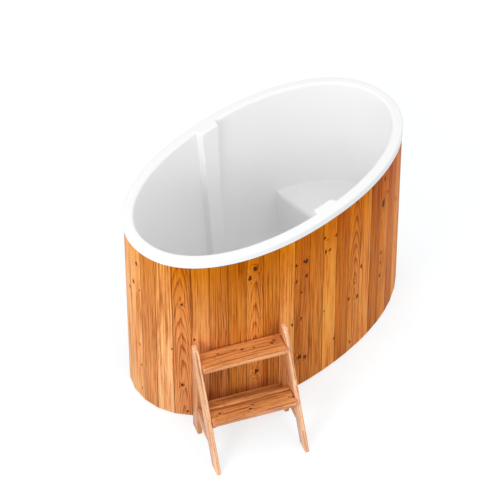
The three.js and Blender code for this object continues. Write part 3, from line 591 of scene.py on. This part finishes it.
def liner_column(length):
    """Places down the liner at one station: lip, rim, wall, seat, floor."""
    point, out = oval_at(length)

    def on_wall(z):
        return point + out * (well_offset(z) - RIB_DEPTH * rib_share(point.x, z)) + Vector((0, 0, z))

    def at(offset, z):
        return point + out * offset + Vector((0, 0, z))

    places = [at(RIM_OVERHANG, LIP_BOTTOM), at(RIM_OVERHANG, LIP_BOTTOM + LIP_HEIGHT)]
    rim = Vector((RIM_OVERHANG - RIM_ROUND, RIM_TOP - RIM_ROUND))
    for place in quarter(rim, RIM_ROUND, 0, math.pi / 2, ROUND_PLACES):
        places.append(at(place.x, place.y))
    touch = RIM_TOP - MOUTH_ROUND * (1 - math.sin(WALL_DRAFT))
    inner = well_offset(touch) - RIB_DEPTH * rib_share(point.x, touch)
    mouth = Vector((inner + MOUTH_ROUND * math.cos(WALL_DRAFT), RIM_TOP - MOUTH_ROUND))
    places.append(at((rim.x + mouth.x) / 2, RIM_TOP))
    for place in quarter(mouth, MOUTH_ROUND, math.pi / 2, math.pi - WALL_DRAFT, ROUND_PLACES):
        places.append(at(place.x, place.y))
    top, bottom = touch, SEAT_TOP + SEAT_ABOVE
    places += [on_wall(top + (bottom - top) * i / WALL_PLACES) for i in range(1, WALL_PLACES)]

    edge = on_wall(SEAT_TOP)
    wall = Vector((edge.x, edge.y)).length
    share = 1.0
    if edge.x > SEAT_FRONT:
        share = SEAT_FRONT / edge.x
        share = min(1.0, (SEAT_FRONT + (share * edge.y) ** 2 / (2 * SEAT_BULGE)) / edge.x)
    front = wall * share

    def inside(place):
        wall_place = on_wall(place.y)
        return Vector((wall_place.x * place.x / wall, wall_place.y * place.x / wall, place.y))

    path = along_path(seat_path(wall, front), SEAT_PLACES)
    foot = Vector((front, WELL_FLOOR + FLOOR_FILLET))
    path += [path[-1].lerp(foot, i / 4) for i in range(1, 4)]
    path += quarter(foot - Vector((FLOOR_FILLET, 0)), FLOOR_FILLET, 0, -math.pi / 2, FILLET_PLACES)
    heel = path[-1]
    centre = Vector((0.004, WELL_FLOOR))
    path += [heel.lerp(centre, (i / FLOOR_PLACES) ** 0.8) for i in range(1, FLOOR_PLACES + 1)]
    return places + [inside(place) for place in path]


def make_liner(material):
    columns = [liner_column(length) for length in liner_lengths()]
    rings = [list(ring) for ring in zip(*columns)]
    piece = loft("liner_moulding", rings)
    bpy.ops.mesh.merge(type="CENTER")
    bpy.ops.mesh.select_all(action="SELECT")
    bpy.ops.mesh.normals_make_consistent(inside=False)
    deselect()
    rim = [face for face in piece.data.polygons if face.center.z > RIM_TOP - 1e-4]
    if rim[0].normal.z < 0:
        choose(piece)
        edit_mesh(piece)
        bpy.ops.mesh.select_all(action="SELECT")
        bpy.ops.mesh.flip_normals()
    apply_modifier(piece, "SOLIDIFY", thickness=LINER_WALL, offset=-1, use_even_offset=True)
    low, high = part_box("drain_seal")
    middle = (low + high) / 2
    deselect()
    bpy.ops.mesh.primitive_cylinder_add(vertices=64, radius=DRAIN_HOLE_RADIUS, depth=0.1,
                                        location=(middle.x, middle.y, WELL_FLOOR))
    cut_away(piece, bpy.context.active_object)
    smooth(piece, 40)
    return finish_piece(piece, "tub", material, "liner_white", "liner")


# Cladding

# Tone, figure and knots of the boards, counted from the -X end towards -Y. A knot is its place across
# the board as a share of the board's width, its height and its radius.
# The tones were matched board by board to how light each board looks, so besides each board's own tone they
# hold painted light: lighter and paler at the -X end, where the left lamp falls, and more saturated towards
# +X.
BOARDS = {
    44: ((255, 170, 105), "straight", [(0.75, 0.69, 0.007)]),
    45: ((254, 169, 104), "straight", [(0.64, 0.90, 0.007), (0.28, 0.76, 0.008), (0.86, 0.74, 0.005),
                                       (0.70, 0.37, 0.005), (0.82, 0.235, 0.005), (0.78, 0.07, 0.004)]),
    0: ((218, 137, 79), "straight", []),
    1: ((247, 169, 112), "stripes", [(0.93, 0.45, 0.004)]),
    2: ((220, 136, 81), "cathedral", [(0.52, 0.755, 0.006), (0.45, 0.21, 0.006), (0.70, 0.03, 0.005)]),
    3: ((221, 142, 85), "stripes", [(0.16, 0.53, 0.005)]),
    4: ((207, 127, 67), "wavy", []),
    5: ((207, 124, 52), "straight", []),
    6: ((220, 135, 66), "cathedral", [(0.52, 0.925, 0.009), (0.23, 0.875, 0.009), (0.85, 0.59, 0.003),
                                      (0.60, 0.24, 0.011)]),
    7: ((212, 128, 54), "straight", []),
    8: ((248, 158, 84), "stripes", [(0.84, 0.45, 0.006)]),
    9: ((207, 117, 47), "wavy", [(0.10, 0.83, 0.006), (0.60, 0.832, 0.007), (0.78, 0.825, 0.009),
                                 (0.10, 0.725, 0.006), (0.80, 0.73, 0.008), (0.45, 0.636, 0.005),
                                 (0.45, 0.46, 0.006), (0.35, 0.20, 0.010), (0.75, 0.18, 0.009)]),
    10: ((218, 128, 51), "straight", []),
    11: ((250, 153, 67), "straight", [(0.08, 0.905, 0.006), (0.30, 0.88, 0.004), (0.93, 0.875, 0.006),
                                      (0.16, 0.81, 0.007), (0.48, 0.805, 0.007), (0.12, 0.415, 0.004),
                                      (0.93, 0.175, 0.006)]),
    12: ((206, 113, 36), "straight", []),
    13: ((227, 133, 55), "cathedral", [(0.55, 0.455, 0.006), (0.12, 0.37, 0.007), (0.85, 0.345, 0.008),
                                       (0.30, 0.06, 0.006)]),
    14: ((248, 149, 68), "stripes", [(0.15, 0.53, 0.007)]),
    15: ((197, 104, 16), "straight", []),
    16: ((229, 131, 33), "wavy", [(0.40, 0.95, 0.008), (0.32, 0.795, 0.015), (0.80, 0.835, 0.007),
                                  (0.30, 0.47, 0.007), (0.25, 0.40, 0.006), (0.18, 0.32, 0.008)]),
    17: ((209, 108, 2), "straight", []),
    18: ((250, 146, 32), "stripes", [(0.40, 0.67, 0.009)]),
}

# Boards at the -X end, where the left lamp falls, whose height gradient is weaker than the others': painted
# light, keeping them lighter towards the top
GRADIENT_SHARES = {44: 0.35, 45: 0.45, 0: 0.7, 1: 0.7}


def board_facts(index):
    """The listed facts of a board, or others of the same kind where none are listed."""
    if index in BOARDS:
        return BOARDS[index]
    tone = rng.choice([listed[0] for listed in BOARDS.values()])
    figure = rng.choice(["straight", "straight", "stripes", "wavy", "cathedral"])
    knots = [(rng.uniform(0.12, 0.88), rng.uniform(0.05, 0.95), rng.uniform(0.004, 0.009))
             for _ in range(rng.choice([0, 0, 1, 2, 4]))]
    return tone, figure, knots


def slot_tool():
    """The pipe's way out through the boards, as a cutting tool."""
    low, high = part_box("drain_pipe")
    axis = (low + high) / 2
    radius = (high.x - low.x) / 2 + PIPE_CLEARANCE
    deselect()
    bpy.ops.mesh.primitive_cylinder_add(vertices=48, radius=radius, depth=SLOT_LENGTH,
                                        location=(axis.x, TUB_WIDTH / 2, axis.z),
                                        rotation=(math.pi / 2, 0, 0))
    tool = bpy.context.active_object
    bpy.ops.object.transform_apply()
    mesh = edit_mesh(tool)
    for vert in mesh.verts:
        if vert.co.z < axis.z:
            vert.co.x = axis.x + math.copysign(radius, vert.co.x - axis.x)
            vert.co.z -= SLOT_DROP
    bmesh.update_edit_mesh(tool.data)
    deselect()
    return tool


def make_board(index):
    start, start_out = seam_at(index)
    end, end_out = seam_at(index + 1)
    proud = rng.uniform(-0.0005, 0.0002)
    deselect()
    bpy.ops.mesh.primitive_cube_add(size=1)
    piece = bpy.context.active_object
    piece.name = f"board_{index + 1:02d}"
    mesh = edit_mesh(piece)
    for vert in mesh.verts:
        first = vert.co.x < 0
        point, out = (start, start_out) if first else (end, end_out)
        along = Vector((-out.y, out.x, 0)) * (BOARD_GAP / 2 if first else -BOARD_GAP / 2)
        depth = BOARD_THICKNESS if vert.co.y > 0 else -proud
        height = BOARDS_BOTTOM if vert.co.z < 0 else BOARDS_TOP
        vert.co = point + along - out * depth + Vector((0, 0, height))
    bmesh.update_edit_mesh(piece.data)
    bpy.ops.mesh.select_all(action="SELECT")
    bpy.ops.mesh.normals_make_consistent(inside=False)
    middle = (start + end) / 2
    outward = (start_out + end_out).normalized()

    def outside(place):
        return (place - middle).dot(outward) > -BOARD_THICKNESS / 2

    def upright(a, b):
        return outside(a) and outside(b) and abs(a.z - b.z) > 0.5

    def at_foot(a, b):
        return outside(a) and outside(b) and abs(a.z - b.z) < 0.01 and a.z < 0.1

    select_edges(piece, upright)
    bpy.ops.mesh.bevel(offset=BOARD_CHAMFER, segments=3, affect="EDGES")
    select_edges(piece, at_foot)
    bpy.ops.mesh.bevel(offset=BOARD_FOOT_CHAMFER, segments=2, affect="EDGES")
    deselect()
    low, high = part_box("drain_pipe")
    if outward.y > 0 and abs(middle.x - (low.x + high.x) / 2) < SLOT_BOARDS:
        cut_away(piece, slot_tool())
    smooth(piece, 30)
    tone, figure, knots = board_facts(index)
    width = (end - start).length
    placed = [((share - 0.5) * width, height, KNOT_SPREAD * size) for share, height, size in knots]
    heading = math.atan2(end.y - start.y, end.x - start.x)
    material = wood(f"cladding_{index + 1:02d}", (middle.x, middle.y, 0), (0, 0, heading), tone, figure,
                    index + 1, placed, BOARD_SHEEN, half_width=width / 2, gradient_share=GRADIENT_SHARES.get(index, 1.0))
    return finish_piece(piece, "tub", material, "cladding_wood", f"board_pair_{index // 2 + 1:02d}")


# Steps

def rounded_copy(cad_node, name, radius, trim=None, segments=3):
    """A CAD piece again, with its edges rounded over and perhaps one side planed off."""
    piece = bpy.data.objects.new(name, frame["nodes"][cad_node].data.copy())
    bpy.context.scene.collection.objects.link(piece)
    choose(piece)
    edit_mesh(piece)
    bpy.ops.mesh.select_all(action="SELECT")
    bpy.ops.mesh.remove_doubles(threshold=1e-5)
    bpy.ops.mesh.dissolve_limited(angle_limit=math.radians(1))
    if trim:
        side, depth = trim
        facing = Matrix.Rotation(STEPS_TURN, 3, "Z") @ Vector((0, -side, 0))
        face = max(facing.dot(vertex.co) for vertex in frame["nodes"][cad_node].data.vertices)
        bpy.ops.mesh.select_all(action="SELECT")
        bpy.ops.mesh.bisect(plane_co=(face - depth) * facing, plane_no=facing,
                            use_fill=True, clear_outer=True)
    deselect()
    apply_modifier(piece, "BEVEL", width=radius, segments=segments, limit_method="ANGLE",
                   angle_limit=math.radians(30))
    smooth(piece, 35)
    return piece


def grain_turn(direction):
    """Turn of a board's own frame, Z along the grain and X across it, from its turn in the steps."""
    return (Matrix.Rotation(STEPS_TURN, 3, "Z") @ direction).to_euler()


# Turns of boards in the steps, which have X across them, Y towards the tub and Z up
ACROSS_STEPS = Matrix(((0, 0, 1), (1, 0, 0), (0, 1, 0)))
UPRIGHT = Matrix(((0, 1, 0), (-1, 0, 0), (0, 0, 1)))
LEANING = Matrix.Rotation(-(math.pi / 2 - STRINGER_SLOPE), 3, "X") @ UPRIGHT
LEVEL = Matrix(((0, 1, 0), (0, 0, 1), (1, 0, 0)))

# Boards that are thinner than in the CAD: side to plane (1 front, -1 back) and how much
STEP_TRIMS = {"back_rail": (1, 0.013), "lower_tread_slat": (-1, 0.011)}

# Tone, sheen and coat of varnish, where they differ from the other pieces of the steps
STEP_TONE = (214, 138, 79)
# The stringers' lighter, pinker tone is painted light, standing in for the sheen on their front faces; the
# back rail's darker tone is painted shade, where it lies in shadow behind the lower tread's slat.
STEP_TONES = {"stringer": (242, 180, 138), "back_rail": (194, 116, 60)}
STEP_SHEENS = {"back_rail": 0.1}
STEP_COAT = 0.1
STEP_COATS = {"back_rail": 0.0, "upper_tread": 0.7, "lower_tread": 0.7, "stringer": 0.2}
STEP_SEED = 60

# How each piece lies, the rounding of its edges and its figure
STEP_PIECES = {
    "stringer": (LEANING, 0.006, "straight"),
    "rear_leg": (UPRIGHT, 0.006, "straight"),
    "side_rail": (LEVEL, 0.004, "straight"),
    "upper_tread": (ACROSS_STEPS, 0.010, "rough"),
    "lower_tread": (ACROSS_STEPS, 0.010, "rough"),
    "lower_tread_slat": (ACROSS_STEPS, 0.006, "straight"),
    "back_rail": (ACROSS_STEPS, 0.004, "straight"),
    "upper_cleat": (LEVEL, 0.003, "straight"),
    "lower_cleat": (LEVEL, 0.003, "straight"),
}

# Knots on the steps: place along the board from its middle, place across it from its middle, radius
STEP_KNOTS = {
    "upper_tread": [(0.008, 0.018, 0.006), (0.153, 0.008, 0.0045), (0.169, 0.024, 0.004),
                    (-0.115, 0.026, 0.0035), (0.062, 0.010, 0.0035)],
    "stringer_left": [(-0.242, 0.033, 0.004), (-0.215, 0.031, 0.003), (-0.02, 0.034, 0.003),
                      (0.235, 0.033, 0.0035), (0.262, 0.034, 0.003)],
    "stringer_right": [(-0.235, 0.034, 0.003), (-0.20, 0.032, 0.004), (0.03, 0.033, 0.005),
                       (0.16, 0.034, 0.003), (0.25, 0.033, 0.003)],
    "lower_tread": [(-0.013, -0.009, 0.0045), (0.005, 0.013, 0.004), (0.186, 0.006, 0.004),
                    (0.205, 0.0, 0.004), (-0.163, 0.010, 0.005)],
}


def make_steps():
    body_nodes = frame["record"]["behaviour"]["bodies"]["steps"]
    for seed, cad_node in enumerate(body_nodes):
        kind = cad_node.removesuffix("_left").removesuffix("_right")
        direction, radius, figure = STEP_PIECES[kind]
        piece = rounded_copy(cad_node, f"step_{cad_node}", radius, STEP_TRIMS.get(kind))
        low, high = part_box(cad_node)
        knots = [(across, along, size) for along, across, size in STEP_KNOTS.get(cad_node, [])]
        material = wood(f"step_wood_{cad_node}", tuple((low + high) / 2), grain_turn(direction),
                        STEP_TONES.get(kind, STEP_TONE), figure, STEP_SEED + seed, knots,
                        STEP_SHEENS.get(kind, STEP_SHEEN), STEP_COATS.get(kind, STEP_COAT))
        finish_piece(piece, "steps", material, "step_wood", cad_node)


# Drain and base

# Fittings that show, with the rounding of their edges
FITTING_ROUNDS = {
    "drain_body": 0.0006, "drain_strainer": 0.0004, "valve_body": 0.0015, "valve_lever": 0.0015,
    "lever_nut": 0.0008, "valve_stem": 0.0006, "hose_tail": 0.0006, "drain_pipe": 0.0004,
}


def make_fittings():
    """Rounded copies of the fittings that show, and plain finishes on the CAD of the rest."""
    grey = moulded_plastic("grey_plastic", rgb(126, 132, 138), rgb(112, 118, 124), 0.42)
    red = moulded_plastic("red_plastic", rgb(172, 42, 32), rgb(150, 34, 26), 0.36)
    rubber = moulded_plastic("black_rubber", rgb(34, 34, 34), rgb(24, 24, 24), 0.8)
    finishes = {"grey_plastic": grey, "lever_red": red, "rubber": rubber, "steel": brushed_steel(),
                "plywood": plywood(), "foam": foam()}
    slots = {row["node"]: row["material_slot"] for row in frame["record"]["subparts"]}
    bodies = {name: body for body, names in frame["record"]["behaviour"]["bodies"].items()
              for name in names}
    for name, slot in slots.items():
        if slot not in finishes:
            continue
        if name in FITTING_ROUNDS:
            piece = rounded_copy(name, f"fitting_{name}", FITTING_ROUNDS[name], segments=2)
            finish_piece(piece, bodies[name], finishes[slot], slot, name)
        else:
            cad = frame["nodes"][name]
            cad.data.materials.clear()
            cad.data.materials.append(finishes[slot])


# Floor, light and camera

def make_floor():
    deselect()
    bpy.ops.mesh.primitive_plane_add(size=FLOOR_SIZE)
    floor = bpy.context.active_object
    floor.name = "floor"
    material, tree, shader = new_material("floor_white")
    shader.inputs["Base Color"].default_value = FLOOR_COLOUR
    shader.inputs["Roughness"].default_value = 0.9
    shader.inputs["Specular IOR Level"].default_value = 0.0
    glow = node(tree, "ShaderNodeEmission", {"Color": (1, 1, 1, 1), "Strength": FLOOR_GLOW})
    share = maths(tree, "MULTIPLY", background_rays(tree), FLOOR_GLOW_SHARE)
    mixed = node(tree, "ShaderNodeMixShader", {0: share, 1: shader.outputs[0], 2: glow.outputs[0]})
    output = tree.nodes["Material Output"]
    tree.links.new(mixed.outputs[0], output.inputs["Surface"])
    floor.data.materials.append(material)


def make_world():
    world = bpy.data.worlds.new("studio")
    bpy.context.scene.world = world
    world.use_nodes = True
    tree = world.node_tree
    background = tree.nodes["Background"]
    background.inputs["Color"].default_value = (1, 1, 1, 1)
    strength = remap(tree, background_rays(tree), 0.0, 1.0, WORLD_LIGHT, 1.0)
    link(tree, background.inputs["Strength"], strength)


def soft_light(name, direction, distance, width, height, power):
    """A lamp with a soft edge, in a direction from the tub and turned towards it."""
    data = bpy.data.lights.new(name, "AREA")
    data.shape = "RECTANGLE"
    data.size = width
    data.size_y = height
    data.energy = power
    lamp = bpy.data.objects.new(name, data)
    bpy.context.scene.collection.objects.link(lamp)
    away = Vector(direction).normalized()
    lamp.location = LAMP_TARGET + away * distance
    lamp.rotation_euler = away.to_track_quat("Z", "Y").to_euler()


def make_camera():
    back = Vector((math.sin(VIEW_AZIMUTH) * math.cos(VIEW_ELEVATION),
                   -math.cos(VIEW_AZIMUTH) * math.cos(VIEW_ELEVATION), math.sin(VIEW_ELEVATION)))
    level = Vector((math.cos(VIEW_AZIMUTH), math.sin(VIEW_AZIMUTH), 0))
    upward = back.cross(level)
    right = math.cos(VIEW_ROLL) * level + math.sin(VIEW_ROLL) * upward
    up = math.cos(VIEW_ROLL) * upward - math.sin(VIEW_ROLL) * level
    data = bpy.data.cameras.new("camera")
    data.lens = LENS
    data.sensor_width = SENSOR
    data.clip_end = 100
    camera = bpy.data.objects.new("camera", data)
    bpy.context.scene.collection.objects.link(camera)
    turn = Matrix((right, up, back)).transposed().to_4x4()
    camera.matrix_world = Matrix.Translation(VIEW_TARGET + back * VIEW_DISTANCE) @ turn
    bpy.context.scene.camera = camera


make_camera()
make_liner(white_laminate())
for board in range(BOARD_COUNT):
    make_board(board)
make_steps()
make_fittings()
make_floor()
make_world()
soft_light("left", (-0.90, -0.22, 0.41), 6.0, 1.7, 1.7, 100)
soft_light("front", (-0.12, -0.74, 0.66), 5.5, 0.9, 5.0, 27)
bpy.context.scene.view_settings.view_transform = "Standard"
